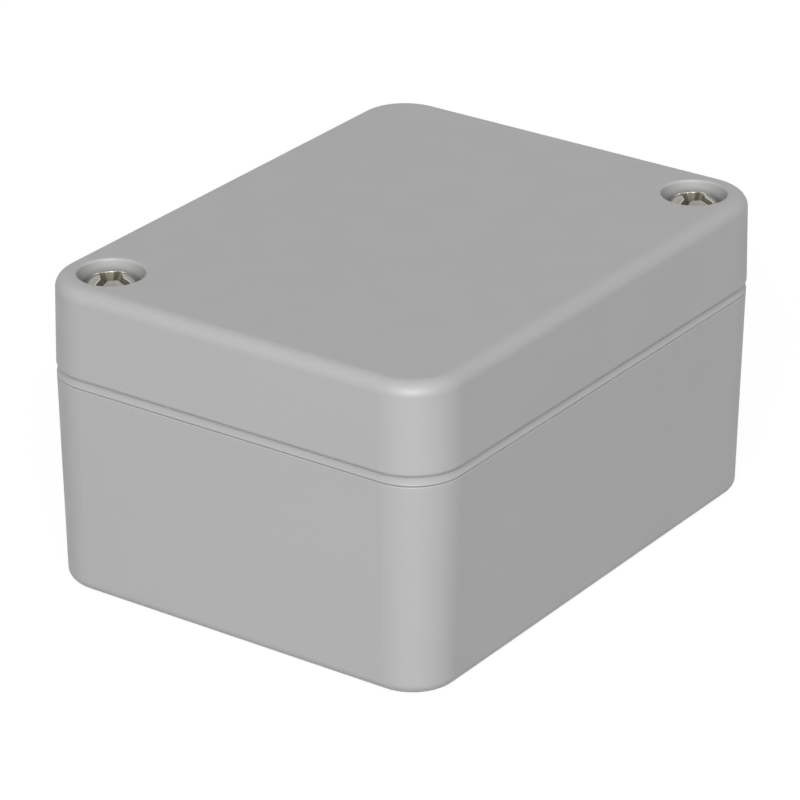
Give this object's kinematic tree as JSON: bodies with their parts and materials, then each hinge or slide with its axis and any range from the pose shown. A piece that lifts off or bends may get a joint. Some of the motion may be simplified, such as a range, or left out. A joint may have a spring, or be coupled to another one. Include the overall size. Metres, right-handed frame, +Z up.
{
  "type": "polycarbonate enclosure",
  "caption": "Small sealed grey plastic box: deep base, shallow lid with a shadow groove and captive lid screws on one diagonal.",
  "frame": {"origin": "centre of the underside, on the surface it stands on", "axes": "+X along the long side, +Y towards the rear, +Z up through the lid"},
  "size_m": [0.065, 0.05, 0.035],
  "materials": {
    "shell": "moulded polycarbonate, light grey, fine satin grain",
    "gasket": "soft black sealing rubber",
    "insert": "turned and knurled brass",
    "screw": "bright stainless steel, slightly warm",
    "ring": "black nitrile rubber"
  },
  "bodies": {
    "base": {"base_shell": "shell", "screw_insert_rear_left": "insert", "screw_insert_front_right": "insert"},
    "lid": {"lid_shell": "shell", "lid_gasket": "gasket"},
    "rear_left_ring": {"screw_ring_rear_left": "ring"},
    "rear_left_screw": {"lid_screw_rear_left": "screw"},
    "front_right_ring": {"screw_ring_front_right": "ring"},
    "front_right_screw": {"lid_screw_front_right": "screw"}
  },
  "joints": [
    {"name": "lid_lift", "type": "slide", "parent": "base", "child": "lid", "axis": [0, 0, 1], "range_m": [0, 0.04]},
    {"name": "rear_left_back_out", "type": "slide", "parent": "lid", "child": "rear_left_ring", "axis": [0, 0, 1], "range_m": [0, 0.0041]},
    {"name": "rear_left_turn", "type": "hinge", "parent": "rear_left_ring", "child": "rear_left_screw", "pos_m": [-0.0265, 0.019, 0.0245], "axis": [0, 0, 1], "range_deg": [0, 2952]},
    {"name": "front_right_back_out", "type": "slide", "parent": "lid", "child": "front_right_ring", "axis": [0, 0, 1], "range_m": [0, 0.0041]},
    {"name": "front_right_turn", "type": "hinge", "parent": "front_right_ring", "child": "front_right_screw", "pos_m": [0.0265, -0.019, 0.0245], "axis": [0, 0, 1], "range_deg": [0, 2952]}
  ],
  "couplings": [
    {"joint": "rear_left_turn", "follows": "rear_left_back_out", "rad_per_m": 12566},
    {"joint": "front_right_turn", "follows": "front_right_back_out", "rad_per_m": 12566}
  ]
}
